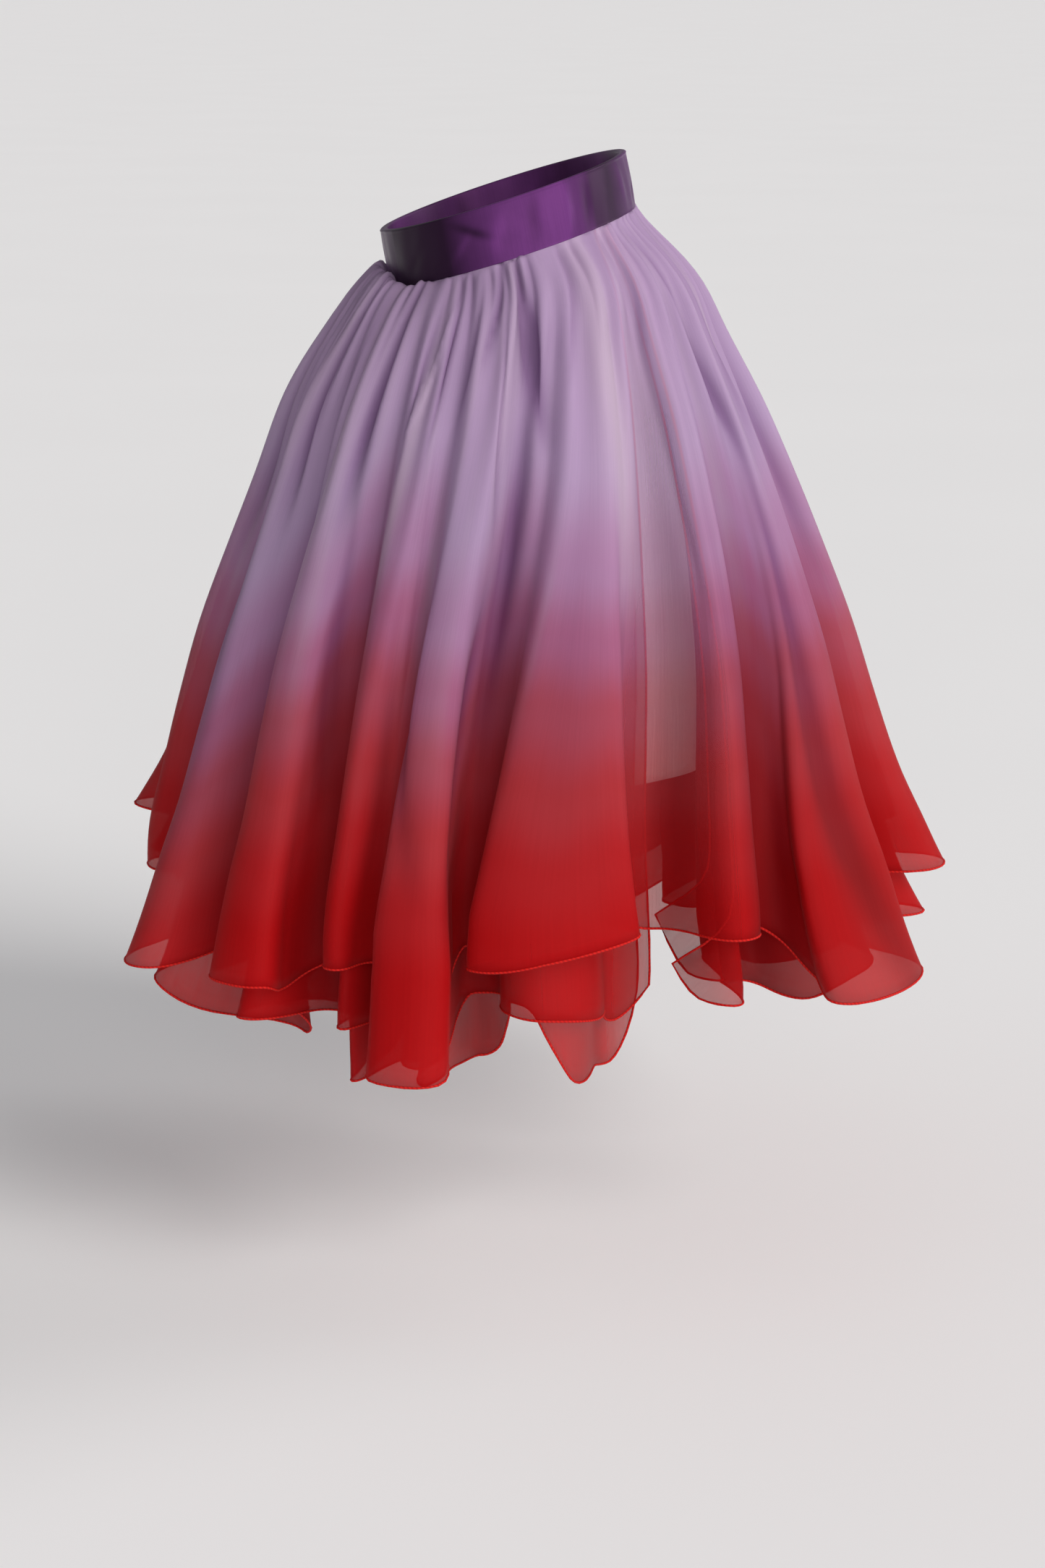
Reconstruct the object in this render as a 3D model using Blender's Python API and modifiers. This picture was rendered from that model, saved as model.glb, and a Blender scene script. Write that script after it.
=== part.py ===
"""Gathered organza skirt: a satin waistband, three layers of organza and a lining.

Metres, +Z up. The front of the garment faces -Y and the wearer's right side is -X.
The origin is the centre of the waistband. The skirt keeps the hollow form it has when it is worn.
A turn is an angle in degrees round the skirt, from the wearer's right side towards the front.
"""

from collections import namedtuple
from math import radians, tan

import bpy
import numpy as np

# Waistband
WAIST_HALF_SIDE = 0.117
WAIST_HALF_DEPTH = 0.0862
BAND_HEIGHT = 0.0385
BAND_THICKNESS = 0.0055
BAND_EDGE = 0.0012
BAND_POINTS = 80
WAIST_TILT = radians(17.6)
BAND_LEAN = radians(11.0)
LAP_TURN = -52.0
LAP_LENGTH = 34.0
LAP_STEP = 0.0012

# Cloth
WALL = 0.0010
SEAM_GAP = 0.0003
SKIRT_FORWARD = 0.0124
GATHER_DEPTH = 0.0085
GATHER_END = 0.30
LAYER_GAP = 0.0050
FLANK_SHARE = 0.06
SHOULDER_FALL = 0.017
PUFF_FALL = 0.015
BACK_TURN = -90.0
BACK_BULGE = 0.005
BULGE_FALL = 0.070

# The crest of the folds at each height, as half the skirt's width seen from the side and from the front.
Profile = namedtuple("Profile", "height half_depth half_side")
PROFILE = (
    Profile(0.012, 0.0790, 0.1130),
    Profile(0.000, 0.0920, 0.1220),
    Profile(-0.014, 0.1030, 0.1310),
    Profile(-0.045, 0.1260, 0.1490),
    Profile(-0.076, 0.1420, 0.1640),
    Profile(-0.127, 0.1690, 0.1890),
    Profile(-0.179, 0.1926, 0.2100),
    Profile(-0.231, 0.2143, 0.2290),
    Profile(-0.284, 0.2347, 0.2470),
    Profile(-0.337, 0.2507, 0.2610),
    Profile(-0.391, 0.2662, 0.2740),
    Profile(-0.430, 0.2790, 0.2850),
    Profile(-0.470, 0.2880, 0.2930),
    Profile(-0.520, 0.2970, 0.3010),
    Profile(-0.570, 0.3040, 0.3070),
)

# The flutes, each from one valley to the next: the turn of its crest and of the valley after it at the hem,
# how far the crest kicks out past the profile, how deep the valley after it is, how far the cloth curls under
# itself at the flute's sides, how much more the outer layer's face laps over the valleys beside it, and the
# gathers at the waist that run into it.
Flute = namedtuple("Flute", "crest_turn valley_turn reach valley curl lip gathers")
FLUTES = (
    Flute(-104, -94, 0.020, 0.070, 0.9, 0.0, 2),
    Flute(-84, -73, -0.010, 0.080, 0.9, 0.0, 3),
    Flute(-62, -52, 0.020, 0.074, 1.0, 0.0, 3),
    Flute(-43.5, -33, 0.004, 0.060, 0.9, 0.9, 3),
    Flute(-27.5, -22, -0.012, 0.048, 0.8, 0.0, 2),
    Flute(-15, -8.5, 0.014, 0.074, 1.7, 1.4, 2),
    Flute(4, 21.5, 0.000, 0.078, 1.5, 1.5, 4),
    Flute(32, 41, -0.006, 0.046, 0.6, 0.0, 2),
    Flute(56.5, 73, 0.024, 0.084, 1.1, 1.2, 4),
    Flute(86, 96, 0.020, 0.076, 1.0, 0.0, 3),
    Flute(106, 116, 0.006, 0.080, 0.9, 0.0, 2),
    Flute(126, 137, 0.016, 0.084, 1.0, 0.0, 3),
    Flute(147, 156, 0.000, 0.072, 0.8, 0.0, 2),
    Flute(165, 175, 0.010, 0.082, 1.1, 0.0, 3),
    Flute(184, 194, -0.006, 0.064, 0.9, 0.0, 2),
    Flute(205, 215, 0.012, 0.082, 1.0, 0.0, 3),
    Flute(222, 232, 0.000, 0.066, 0.8, 0.0, 2),
    Flute(240, 247, 0.006, 0.054, 0.6, 0.0, 2),
)
FIRST_VALLEY = -113.0
# The two inner layers are open at one side from the band to the hem, past the valley after this flute, the first
# being flute 0.
OPEN_FLUTE = 6

# The height of each layer's hem at the flute's crest and at the valley after it, a row for each flute above.
Hem = namedtuple("Hem", "outer outer_valley middle middle_valley inner inner_valley")
HEMS = (
    Hem(-0.440, -0.458, -0.475, -0.474, -0.486, -0.480),
    Hem(-0.462, -0.470, -0.472, -0.480, -0.474, -0.478),
    Hem(-0.507, -0.482, -0.511, -0.530, -0.497, -0.502),
    Hem(-0.497, -0.472, -0.539, -0.528, -0.516, -0.531),
    Hem(-0.472, -0.470, -0.520, -0.525, -0.558, -0.554),
    Hem(-0.538, -0.468, -0.534, -0.508, -0.560, -0.552),
    Hem(-0.467, -0.463, -0.507, -0.508, -0.500, -0.500),
    Hem(-0.457, -0.462, -0.510, -0.498, -0.494, -0.490),
    Hem(-0.512, -0.466, -0.514, -0.484, -0.506, -0.490),
    Hem(-0.462, -0.456, -0.499, -0.486, -0.506, -0.500),
    Hem(-0.450, -0.462, -0.490, -0.500, -0.526, -0.530),
    Hem(-0.486, -0.468, -0.520, -0.506, -0.540, -0.534),
    Hem(-0.464, -0.470, -0.502, -0.512, -0.532, -0.544),
    Hem(-0.502, -0.466, -0.530, -0.504, -0.552, -0.536),
    Hem(-0.466, -0.462, -0.508, -0.500, -0.540, -0.528),
    Hem(-0.492, -0.472, -0.520, -0.512, -0.546, -0.536),
    Hem(-0.468, -0.460, -0.506, -0.494, -0.530, -0.520),
    Hem(-0.478, -0.456, -0.502, -0.476, -0.512, -0.488),
)

# Lobes where a layer hangs lower than its own hem: the layer's order, the lobe's place counted in flutes from the
# first valley, its half width in flutes and its drop.
Lobe = namedtuple("Lobe", "order place half_width drop")
LOBES = (Lobe(2, 6.78, 0.30, 0.066),)

# The layers of organza, from the outside in: how far each lies inside the first at a crest and at a valley
# by its hem, how far it puffs up behind the band, and its points for a gather.
Layer = namedtuple("Layer", "name hem order crest_inset valley_inset puff points")
LAYERS = (
    Layer("outer_organza", "outer", 0, 0.000, 0.000, 0.018, 4),
    Layer("middle_organza", "middle", 1, 0.018, 0.017, 0.000, 2),
    Layer("inner_organza", "inner", 2, 0.034, 0.030, 0.000, 2),
)
OUTER_ROWS = (0.0, 0.012, 0.028, 0.054, 0.10, 0.18, 0.29, 0.42, 0.56, 0.70, 0.85, 1.0)
INNER_ROWS = (0.0, 0.016, 0.054, 0.15, 0.32, 0.54, 0.77, 1.0)

# Lining: half widths at each distance below the seam.
Slip = namedtuple("Slip", "fall half_depth half_side")
LINING = (
    Slip(0.000, 0.0820, 0.1128),
    Slip(0.014, 0.0800, 0.1125),
    Slip(0.034, 0.0825, 0.1160),
    Slip(0.090, 0.1020, 0.1330),
    Slip(0.170, 0.1210, 0.1500),
    Slip(0.260, 0.1360, 0.1620),
    Slip(0.370, 0.1500, 0.1700),
)
LINING_HEM = -0.375
LINING_POINTS = 40

# Colours of the cloth
SATIN = (0.075, 0.022, 0.095, 1.0)
ORGANZA = (0.420, 0.045, 0.060, 1.0)
LINING_COLOUR = (0.330, 0.220, 0.350, 1.0)


def eased(knots, values, at):
    """A smooth line through the values at rising knots, flat in slope where the values turn."""
    knots = np.asarray(knots, float)
    values = np.asarray(values, float)
    steps = np.diff(values) / np.diff(knots)
    inner = np.where(steps[1:] * steps[:-1] > 0, (steps[1:] + steps[:-1]) / 2, 0.0)
    slopes = np.concatenate([steps[:1], inner, steps[-1:]])
    at = np.clip(at, knots[0], knots[-1])
    index = np.clip(np.searchsorted(knots, at, side="right") - 1, 0, len(knots) - 2)
    width = knots[index + 1] - knots[index]
    part = (at - knots[index]) / width
    return (
        values[index] * (1 + 2 * part) * (1 - part) ** 2
        + slopes[index] * width * part * (1 - part) ** 2
        + values[index + 1] * part**2 * (3 - 2 * part)
        - slopes[index + 1] * width * part**2 * (1 - part)
    )


def ellipse(turn, half_side, half_depth):
    """The radius of an ellipse at a turn."""
    return 1 / np.hypot(np.cos(turn) / half_side, np.sin(turn) / half_depth)


def band_height(y, middle):
    """The height of the tilted waist at a depth y, for an edge whose middle is at this height."""
    return middle - y * tan(WAIST_TILT)


def fold_columns(points):
    """The columns of a gathered cloth: each one's flute, its place in the flute, the flute's gathers."""
    flute = np.repeat(np.arange(len(FLUTES)), [row.gathers * points for row in FLUTES])
    place = np.concatenate([np.arange(row.gathers * points) / (row.gathers * points) for row in FLUTES])
    gathers = np.array([row.gathers for row in FLUTES])[flute]
    return flute, place, gathers


def fold_turn(flute, place, fall, order):
    """The turn of each column: evenly gathered at the waist, then running to the flute's own turns.

    A layer that lies further in has narrower flutes, so that it hangs clear inside the one over it.
    """
    counts = np.array([row.gathers for row in FLUTES])
    ends = np.cumsum(counts)
    waist = radians(FIRST_VALLEY) + 2 * np.pi * (ends[flute] - counts[flute] * (1 - place)) / ends[-1]
    after = np.radians([row.valley_turn for row in FLUTES])
    before = np.roll(after, 1)
    before[0] = radians(FIRST_VALLEY)
    crest = np.radians([row.crest_turn for row in FLUTES])
    # A flute is broad at its crest and at its valley, and steep or curled under between them.
    half = np.where(place < 0.5, 2 * place, 2 * place - 1)
    broad = np.clip(fall / 0.45, 0, 1)
    curl = np.array([row.curl for row in FLUTES])[flute] * (1 - 0.3 * order)
    if order == 0:
        curl = curl + np.array([row.lip for row in FLUTES])[flute] * (abs(place - 0.5) < 0.25)
    share = half + (0.25 + (curl - 0.25) * broad**1.5) * np.sin(2 * np.pi * half) / (2 * np.pi)
    start = np.where(place < 0.5, before[flute], crest[flute])
    end = np.where(place < 0.5, crest[flute], after[flute])
    hem = start + (end - start) * share
    turn = waist + (hem - waist) * np.clip(fall / 0.42, 0, 1) ** 0.8
    inward = np.where(place < 0.5, 1, -1)
    return turn + order * FLANK_SHARE * (end - start) * broad * np.sin(np.pi * half) * inward


def both_sides(rows, crest_name, valley_name, flute, place):
    """For each column, its flute's value at the crest, and the value at the valley on its own side."""
    valleys = np.array([getattr(row, valley_name) for row in rows])
    crests = np.array([getattr(row, crest_name) for row in rows])
    return crests[flute], np.where(place < 0.5, np.roll(valleys, 1)[flute], valleys[flute])


def cloth_points(layer, part):
    """One ring of a gathered layer, at a part of its length from the seam (0) to the hem (1)."""
    flute, place, gathers = fold_columns(layer.points)
    crest = (1 - np.cos(2 * np.pi * place)) / 2
    plateau = 1 - (1 - crest) ** 2

    peak_hem, valley_hem = both_sides(HEMS, layer.hem, layer.hem + "_valley", flute, place)
    hem = valley_hem + (peak_hem - valley_hem) * plateau
    for lobe in (row for row in LOBES if row.order == layer.order):
        hem = hem - lobe.drop * np.exp(-(((flute + place - lobe.place) / lobe.half_width) ** 4))
    peak_hem, valley_hem = both_sides(HEMS, "outer", "outer_valley", flute, place)
    outer_hem = valley_hem + (peak_hem - valley_hem) * plateau

    # The ring below the band that the layer hangs from.
    inset = layer.order * (WALL + SEAM_GAP) + SEAM_GAP
    seam_forward = BAND_HEIGHT / 2 * tan(BAND_LEAN)
    turn = fold_turn(flute, place, 0.0, layer.order)
    seam_radius = ellipse(turn, WAIST_HALF_SIDE, WAIST_HALF_DEPTH) - inset
    seam_y = -seam_forward - seam_radius * np.sin(turn)
    seam = band_height(seam_y + seam_forward, -BAND_HEIGHT / 2 - SEAM_GAP)

    fall = part * (seam - hem)
    turn = fold_turn(flute, place, fall, layer.order)
    facing = np.clip(np.cos(turn - radians(BACK_TURN)), 0, 1) ** 2
    shoulder = SHOULDER_FALL * (1 + layer.order * (0.20 + 0.25 * facing))
    spread = 1 - np.exp(-((fall / shoulder) ** 1.4))
    puff = (fall / PUFF_FALL) ** 2 * np.exp(2 - 2 * fall / PUFF_FALL)
    height = seam - fall + layer.puff * facing * puff

    heights = [row.height for row in PROFILE][::-1]
    depth = eased(heights, [row.half_depth for row in PROFILE][::-1], height)
    side = eased(heights, [row.half_side for row in PROFILE][::-1], height)
    envelope = ellipse(turn, side, depth)

    reach, valley = both_sides(FLUTES, "reach", "valley", flute, place)
    grown = np.clip(fall / 0.45, 0, 1.15)
    envelope = envelope + BACK_BULGE * facing * np.exp(-(((fall - BULGE_FALL) / (0.65 * BULGE_FALL)) ** 2))
    peak = envelope + reach * part**8
    low = envelope - valley * grown**1.25
    radius = low + (peak - low) * crest ** (1 + 0.35 * min(layer.order, 1))

    wave = (1 - np.cos(2 * np.pi * gathers * place)) / 2
    rise = np.clip(fall / 0.06, 0, 1)
    fade = np.clip(1 - fall / GATHER_END, 0, 1)
    radius = radius - GATHER_DEPTH * rise * fade * (1 - wave)

    radius = seam_radius + (radius - inset - seam_radius) * spread
    hung = layer.valley_inset + (layer.crest_inset - layer.valley_inset) * crest
    under = np.clip((fall - seam + outer_hem) / 0.04, 0, 1)
    radius = radius - layer.order * LAYER_GAP * spread - hung * grown * (1 - 0.3 * under)

    forward = seam_forward + (SKIRT_FORWARD - seam_forward) * spread
    return np.stack([-radius * np.cos(turn), -forward - radius * np.sin(turn), height], axis=1)


def lining_points(fall_part):
    """One ring of the lining, at a part of its length from the seam (0) to its hem (1)."""
    turn = np.arange(LINING_POINTS) * 2 * np.pi / LINING_POINTS
    seam_forward = BAND_HEIGHT / 2 * tan(BAND_LEAN)
    falls = [row.fall for row in LINING]
    top = ellipse(turn, LINING[0].half_side, LINING[0].half_depth)
    seam = band_height(-top * np.sin(turn), -BAND_HEIGHT / 2 - SEAM_GAP)
    fall = fall_part * (seam - LINING_HEM)
    depth = eased(falls, [row.half_depth for row in LINING], fall)
    side = eased(falls, [row.half_side for row in LINING], fall)
    radius = ellipse(turn, side, depth)
    forward = seam_forward + (SKIRT_FORWARD - seam_forward) * (1 - np.exp(-fall / 0.05))
    return np.stack([-radius * np.cos(turn), -forward - radius * np.sin(turn), seam - fall], axis=1)


def new_object(name, points, faces, colour, roughness, collection):
    """A smooth mesh object with its own material."""
    mesh = bpy.data.meshes.new(name)
    mesh.from_pydata(points.tolist(), [], faces)
    mesh.shade_smooth()
    obj = bpy.data.objects.new(name, mesh)
    collection.objects.link(obj)
    material = bpy.data.materials.new(name)
    material.use_nodes = True
    shader = material.node_tree.nodes["Principled BSDF"]
    shader.inputs["Base Color"].default_value = colour
    shader.inputs["Roughness"].default_value = roughness
    shader.inputs["Metallic"].default_value = 0.0
    mesh.materials.append(material)
    return obj


def ring_faces(count, rings, closed=False, open_column=None):
    """Four-sided faces between rings of the same count of points, whose outer side faces out.

    No face is made between the open column and the one after it.
    """
    faces = []
    for row in range(rings if closed else rings - 1):
        after = (row + 1) % rings
        for column in (i for i in range(count) if i != open_column):
            right = (column + 1) % count
            faces.append((row * count + column, after * count + column,
                          after * count + right, row * count + right))
    return faces


def cloth_wall(name, rings, colour, collection, open_column=None):
    """A cloth as an open surface through its rings, given its wall on the inner side."""
    count = len(rings[0])
    faces = ring_faces(count, len(rings), open_column=open_column)
    obj = new_object(name, np.concatenate(rings), faces, colour, 0.6, collection)
    wall = obj.modifiers.new("wall", "SOLIDIFY")
    wall.thickness = WALL
    wall.offset = -1
    wall.use_even_offset = False
    wall.use_rim = True
    return obj


def waistband(collection):
    """The folded strip, a ring with softly rounded edges whose lapped end stands proud of it."""
    turn = np.arange(BAND_POINTS) * 2 * np.pi / BAND_POINTS
    past = (np.degrees(turn) - LAP_TURN + 180) % 360 - 180
    lap_start = np.clip((past + 1.5) / 1.5, 0, 1)
    lap = LAP_STEP * np.where(past > -1.5, lap_start * (1 - np.clip(past / LAP_LENGTH, 0, 1)), 0)
    half = BAND_HEIGHT / 2
    # The section's corners, from the outer lower edge up, over and down the inner side.
    section = (
        (0.0, -half, 1.0),
        (0.0, half - BAND_EDGE, 1.0),
        (BAND_EDGE, half, 0.5),
        (BAND_THICKNESS - BAND_EDGE, half, 0.0),
        (BAND_THICKNESS, half - BAND_EDGE, 0.0),
        (BAND_THICKNESS, -half, 0.0),
    )
    rings = []
    for inward, height, lapped in section:
        radius = ellipse(turn, WAIST_HALF_SIDE - inward, WAIST_HALF_DEPTH - inward) + lap * lapped
        y = -radius * np.sin(turn)
        z = band_height(y, height)
        rings.append(np.stack([-radius * np.cos(turn), y + height * tan(BAND_LEAN), z], axis=1))
    faces = ring_faces(BAND_POINTS, len(rings), closed=True)
    return new_object("waistband", np.concatenate(rings), [face[::-1] for face in faces],
                      SATIN, 0.3, collection)


for old in list(bpy.data.objects):
    bpy.data.objects.remove(old, do_unlink=True)
skirt = bpy.data.collections.new("organza_skirt")
bpy.context.scene.collection.children.link(skirt)

waistband(skirt)
for layer in LAYERS:
    rows = OUTER_ROWS if layer.order == 0 else INNER_ROWS
    gathers_before = sum(row.gathers for row in FLUTES[:OPEN_FLUTE + 1])
    open_column = gathers_before * layer.points if layer.order else None
    cloth_wall(layer.name, [cloth_points(layer, part) for part in rows], ORGANZA, skirt, open_column)
cloth_wall("lining", [lining_points(part) for part in (0.0, 0.04, 0.09, 0.24, 0.46, 0.72, 1.0)],
           LINING_COLOUR, skirt)
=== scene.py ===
"""Looks of the gathered organza skirt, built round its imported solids.

Metres, +Z up. The front of the garment faces -Y and the wearer's right side is -X.
A turn is an angle in degrees round the skirt, from the wearer's right side towards the front.
The file follows the skirt as it is sewn: waistband, lining, three layers of organza with their rolled hems.
"""

from collections import namedtuple
from math import pi, radians, tan

import bpy
import numpy as np
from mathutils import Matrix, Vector


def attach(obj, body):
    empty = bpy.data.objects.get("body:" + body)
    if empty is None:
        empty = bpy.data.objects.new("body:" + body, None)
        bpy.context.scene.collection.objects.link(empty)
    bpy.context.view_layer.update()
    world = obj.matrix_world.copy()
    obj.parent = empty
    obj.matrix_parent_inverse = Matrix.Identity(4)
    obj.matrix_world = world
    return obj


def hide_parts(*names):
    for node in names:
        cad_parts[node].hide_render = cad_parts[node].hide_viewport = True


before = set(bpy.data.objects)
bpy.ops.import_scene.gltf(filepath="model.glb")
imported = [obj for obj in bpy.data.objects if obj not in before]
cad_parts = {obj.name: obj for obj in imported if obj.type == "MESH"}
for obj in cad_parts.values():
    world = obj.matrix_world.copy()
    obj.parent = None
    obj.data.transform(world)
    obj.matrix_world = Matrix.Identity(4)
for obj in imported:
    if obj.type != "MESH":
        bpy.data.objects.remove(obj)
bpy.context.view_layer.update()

# ------------------------------------------------------------
# Waistband. A straight strip of purple satin, folded in half over a stiffening, so its top edge is a soft fold
# and its two long edges close over the gathered cloth. One end laps over the other behind the wearer's right hip.
# ------------------------------------------------------------
WAIST_HALF_SIDE = 0.117
WAIST_HALF_DEPTH = 0.0862
BAND_HEIGHT = 0.0385
BAND_THICKNESS = 0.0055
WAIST_TILT = radians(17.6)
BAND_LEAN = radians(11.0)
LAP_TURN = -52.0
LAP_LENGTH = 34.0
LAP_STEP = 0.0012
LAP_AHEAD = 1.5
LAP_EDGE = 0.35
BAND_COLUMNS = 520
BAND_RADIUS = 0.103
FOLD_ROUND = 0.0016
BAND_PILLOW = 0.0005
BAND_RIPPLE = 0.00022
EDGE_INWARD = (0.0011, 0.0003)
EDGE_RISE = (0.0, 0.0002)
FACE_RISE = 0.0006
FULL_SHADE_DEPTH = 0.0014

# Soft creases of the satin: where each lies, how it slants, its half length and half width, and its depth.
Crease = namedtuple("Crease", "turn height slant length width depth")
BAND_CREASES = (
    Crease(-12.0, 0.006, -0.55, 0.013, 0.0030, 0.0011),
    Crease(-17.0, -0.004, 0.85, 0.012, 0.0030, -0.0007),
    Crease(-3.5, -0.002, 1.30, 0.014, 0.0045, -0.0006),
    Crease(9.0, 0.002, 1.50, 0.016, 0.0050, 0.0006),
    Crease(21.0, 0.001, 1.52, 0.018, 0.0045, -0.0009),
    Crease(30.5, 0.000, 1.50, 0.018, 0.0040, 0.0007),
    Crease(-38.0, -0.005, 0.70, 0.011, 0.0040, 0.0005),
    Crease(58.0, 0.003, -1.20, 0.014, 0.0050, -0.0007),
    Crease(79.0, -0.003, 0.90, 0.013, 0.0040, 0.0007),
    Crease(104.0, 0.002, -0.70, 0.012, 0.0045, 0.0006),
    Crease(131.0, 0.000, 1.40, 0.015, 0.0050, -0.0008),
    Crease(152.0, -0.004, 0.60, 0.012, 0.0035, 0.0007),
    Crease(171.0, 0.004, -1.10, 0.013, 0.0045, -0.0006),
    Crease(196.0, 0.000, 1.30, 0.015, 0.0050, 0.0007),
    Crease(224.0, -0.002, -0.80, 0.012, 0.0040, -0.0006),
    Crease(251.0, 0.003, 1.10, 0.014, 0.0045, 0.0007),
    Crease(283.0, -0.003, -0.90, 0.012, 0.0040, -0.0006),
)

# Painted sheen round the band, from 0 to 1: the satin's colour is made lighter where its highlight falls and darker
# where it lies in shade. The broad facets of the strip end sharply at two turns.
Tone = namedtuple("Tone", "turn tone")
BAND_PAINTED_SHEEN = (
    Tone(-180, 0.45), Tone(-150, 0.25), Tone(-120, 0.60), Tone(-95, 0.30), Tone(-75, 0.45),
    Tone(-60, 0.20), Tone(-50, 0.04), Tone(-22, 0.06), Tone(-15, 0.40), Tone(-4, 0.72),
    Tone(8, 1.00), Tone(19, 0.92), Tone(22, 0.66), Tone(31, 0.60), Tone(34, 0.20),
    Tone(46, 0.12), Tone(62, 0.50), Tone(86, 0.75), Tone(108, 0.35), Tone(130, 0.60),
    Tone(155, 0.25), Tone(180, 0.45),
)


def ellipse(turn, half_side, half_depth):
    """The radius of an ellipse at a turn: one over the length of (cos / half_side, sin / half_depth)."""
    return 1 / np.hypot(np.cos(turn) / half_side, np.sin(turn) / half_depth)


def wrapped(degrees):
    """An angle brought to between -180 and 180 degrees."""
    return (degrees + 180) % 360 - 180


def band_height(y, middle):
    """The height of the tilted waist at a depth y, for an edge whose middle is at this height."""
    return middle - y * tan(WAIST_TILT)


def in_scene(name, data):
    """An object with this data, as a part of the scene."""
    obj = bpy.data.objects.new(name, data)
    bpy.context.scene.collection.objects.link(obj)
    return obj


def ring_piece(name, points, across, along, joined=False, strip=False):
    """An object over a grid of points, whose columns run round the waist and whose rows run down the cloth.

    The last column meets the first, unless the piece is a strip. Where it is joined the last row meets the first
    row, and a strip then gets a face at each end. across and along are the UV of the grid in metres, with one
    column more than the points where the columns meet, and one row more where the rows do.
    """
    rows, columns = points.shape[:2]
    row = np.arange(rows if joined else rows - 1)[:, None]
    column = np.arange(columns - 1 if strip else columns)[None, :]
    below, right = (row + 1) % rows, (column + 1) % columns
    faces = np.stack([row * columns + column, below * columns + column,
                      below * columns + right, row * columns + right], axis=-1).reshape(-1, 4).tolist()
    grid = np.stack(np.broadcast_arrays(across, along), axis=-1)
    corners = np.stack([grid[row, column], grid[row + 1, column],
                        grid[row + 1, column + 1], grid[row, column + 1]], axis=2).reshape(-1, 2)
    if strip and joined:
        start = np.arange(rows) * columns
        faces += [start[::-1].tolist(), (start + columns - 1).tolist()]
        corners = np.concatenate([corners, grid[:rows, 0][::-1], grid[:rows, columns - 1]])
    mesh = bpy.data.meshes.new(name)
    mesh.from_pydata(points.reshape(-1, 3).tolist(), [], faces)
    mesh.uv_layers.new(name="cloth").data.foreach_set("uv", corners.astype(np.float32).ravel())
    mesh.shade_smooth()
    return in_scene(name, mesh)


def give_trait(obj, name, values):
    """Gives every point of an object a value under this name, for its material to read."""
    trait = obj.data.attributes.new(name, "FLOAT", "POINT")
    trait.data.foreach_set("value", values.astype(np.float32).ravel())


def waistband():
    """The band as a closed section carried round the waist.

    The section is a wall with a round fold at its top and a slight pillow in its outer face. Its lap is a step
    of the outer face that starts sharply at one turn and dies away. Each crease adds its depth times a bell
    across its line and a bell along it.
    """
    fine = LAP_TURN - LAP_AHEAD + np.linspace(-0.2, 0.6, 9)
    turn = np.radians(np.sort(np.concatenate([np.arange(BAND_COLUMNS) * 360 / BAND_COLUMNS, fine % 360])))
    past = wrapped(np.degrees(turn) - LAP_TURN)
    lap = LAP_STEP * np.clip((past + LAP_AHEAD) / LAP_EDGE, 0, 1) * (1 - np.clip(past / LAP_LENGTH, 0, 1))
    half = BAND_HEIGHT / 2
    face = np.linspace(-half + FACE_RISE, half - FOLD_ROUND, 30)
    arc = np.linspace(0, pi / 2, 6)[1:]
    # From the lower outer edge up the face, over the fold and down the inner side.
    inward = np.concatenate([EDGE_INWARD, -BAND_PILLOW * np.cos(pi * face / BAND_HEIGHT) + BAND_PILLOW,
                             FOLD_ROUND * (1 - np.cos(arc)),
                             BAND_THICKNESS - FOLD_ROUND * (1 - np.cos(arc[::-1])),
                             np.full(8, BAND_THICKNESS)])
    height = np.concatenate([-half + np.array(EDGE_RISE), face,
                             half - FOLD_ROUND * (1 - np.sin(arc)), half - FOLD_ROUND * (1 - np.sin(arc[::-1])),
                             np.linspace(half - FOLD_ROUND, -half, 8)])
    inward, height = inward[:, None], height[:, None]
    outer = np.clip(1 - inward / (BAND_THICKNESS * 0.5), 0, 1)
    bump = np.zeros((len(inward), len(turn)))
    for crease in BAND_CREASES:
        off = wrapped(np.degrees(turn) - crease.turn) * radians(1) * BAND_RADIUS
        run = off * np.cos(crease.slant) + (height - crease.height) * np.sin(crease.slant)
        aside = -off * np.sin(crease.slant) + (height - crease.height) * np.cos(crease.slant)
        bump += crease.depth * np.exp(-((run / crease.length) ** 2) - (aside / crease.width) ** 2)
    ripple = BAND_RIPPLE * np.sin(23 * turn + 1.1) * np.sin(height * 75 + 2.1 * np.sin(5 * turn))
    radius = (ellipse(turn, WAIST_HALF_SIDE - inward, WAIST_HALF_DEPTH - inward)
              + outer * (lap - bump + ripple))
    y = -radius * np.sin(turn)
    points = np.stack(np.broadcast_arrays(-radius * np.cos(turn), y + height * tan(BAND_LEAN),
                                          band_height(y, height)), axis=-1)
    across = np.append(turn * WAIST_HALF_SIDE, 2 * pi * WAIST_HALF_SIDE)
    steps = np.hypot(np.diff(inward[:, 0], append=inward[0, 0]), np.diff(height[:, 0], append=height[0, 0]))
    obj = ring_piece("satin_waistband", points[::-1], across[None, :],
                     np.append(0, np.cumsum(steps[::-1]))[:, None], joined=True)
    # The painted sheen round the band, with painted shade in sunken creases and painted highlight on raised ones.
    tone = np.interp(wrapped(np.degrees(turn)), [row.turn for row in BAND_PAINTED_SHEEN], [row.tone for row in BAND_PAINTED_SHEEN])
    give_trait(obj, "tone", (tone * (1 - np.clip(bump / FULL_SHADE_DEPTH, -0.5, 0.8)))[::-1])
    return obj


def feed(socket, value):
    """Links a socket to another, or to the first output of a node, or sets it to any other value."""
    if isinstance(value, bpy.types.Node):
        value = value.outputs[0]
    if isinstance(value, bpy.types.NodeSocket):
        socket.id_data.links.new(value, socket)
    else:
        socket.default_value = value


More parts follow.
